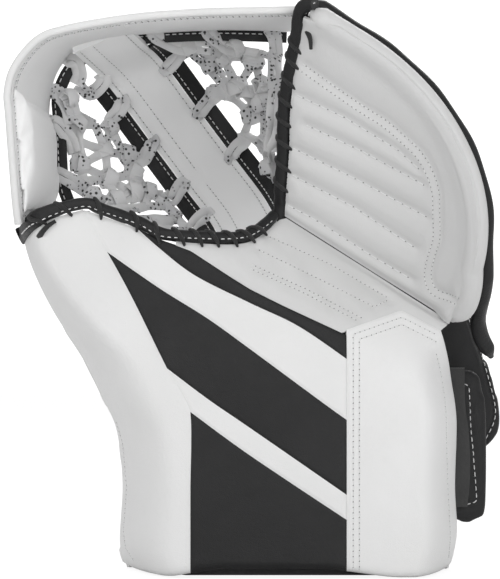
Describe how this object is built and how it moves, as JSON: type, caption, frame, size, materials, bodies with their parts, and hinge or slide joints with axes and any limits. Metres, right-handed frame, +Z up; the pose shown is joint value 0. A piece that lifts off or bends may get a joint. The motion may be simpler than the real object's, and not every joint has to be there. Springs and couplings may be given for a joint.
{
  "type": "goalie catch glove",
  "caption": "Ice hockey goalkeeper's catching glove for the left hand, with a one-piece cuff, a laced pocket, a folding break and straps at the back.",
  "frame": {"origin": "on the ground, in the middle of the lower edge of the cuff's foam, where the glove stands on its cuff", "axes": "+Z up from the end of the cuff to the top of the pocket, +Y from the palm side to the back of the hand, +X to the finger side"},
  "size_m": [0.3147, 0.1756, 0.3566],
  "materials": {
    "white_leather": "smooth satin synthetic leather with a fine grain",
    "black_leather": "satin synthetic leather with a fine grain",
    "black_binding": "matt binding with white stitching",
    "lace": "waxed woven lace with dark flecks",
    "foam": "closed-cell foam",
    "board": "stiff polyethylene board",
    "lining": "brushed microfibre",
    "webbing": "woven nylon webbing",
    "felt": "brushed hook-and-loop felt"
  },
  "bodies": {
    "cuff": {"thumb_panel": "white_leather", "cuff_lower_stripe": "white_leather", "cuff_middle_stripe": "white_leather", "palm_upper_panel": "white_leather", "cuff_right_panel": "white_leather", "thumb_rim": "white_leather", "thumb_pad": "white_leather", "cuff_lower_panel": "black_leather", "cuff_wide_stripe": "black_leather", "cuff_thin_stripe": "black_leather", "thumb_lace_strip": "black_leather", "wrist_pad": "black_leather", "backhand_pad": "black_leather", "lip_binding": "black_binding", "pocket_web_left": "lace", "cuff_foam": "foam", "cuff_board": "board", "cuff_lining": "lining", "thumb_sleeve": "lining", "thumb_side_gusset": "lining", "heel_gusset": "lining", "pad_hinge": "lining", "strap_anchor": "webbing", "wrist_felt": "felt"},
    "pocket": {"crown_rim": "white_leather", "crown_lace_strip": "black_leather", "pocket_spine": "white_leather", "spine_strip_left": "black_leather", "spine_strip_right": "black_leather", "pocket_web_right": "lace"},
    "fingers": {"finger_palm_panel": "white_leather", "finger_foam": "foam", "finger_board": "board", "finger_lining": "lining", "finger_rim_roll": "white_leather", "finger_outer_binding": "black_binding", "finger_binding": "black_binding", "index_sleeve": "lining", "middle_sleeve": "lining", "ring_sleeve": "lining", "little_sleeve": "lining", "finger_back_pad": "black_leather"},
    "wrist_strap": {"wrist_strap": "webbing"},
    "backhand_strap": {"backhand_strap": "webbing"}
  },
  "joints": [
    {"name": "pocket_fold", "type": "hinge", "parent": "cuff", "child": "pocket", "pos_m": [0.02, 0.02245, 0.226], "axis": [0.8446, 0, -0.5354], "range_deg": [0, 30]},
    {"name": "finger_fold", "type": "hinge", "parent": "pocket", "child": "fingers", "pos_m": [0.02, 0.02245, 0.226], "axis": [0.8446, 0, -0.5354], "range_deg": [0, 30]},
    {"name": "wrist_strap_open", "type": "hinge", "parent": "cuff", "child": "wrist_strap", "pos_m": [-0.072, 0.07445, 0.057], "axis": [0, 0, 1], "range_deg": [0, 80]},
    {"name": "backhand_strap_open", "type": "hinge", "parent": "cuff", "child": "backhand_strap", "pos_m": [-0.028, 0.08845, 0.151], "axis": [0, 0, 1], "range_deg": [0, 80]}
  ],
  "couplings": [
    {"joint": "finger_fold", "follows": "pocket_fold", "ratio": 1}
  ]
}
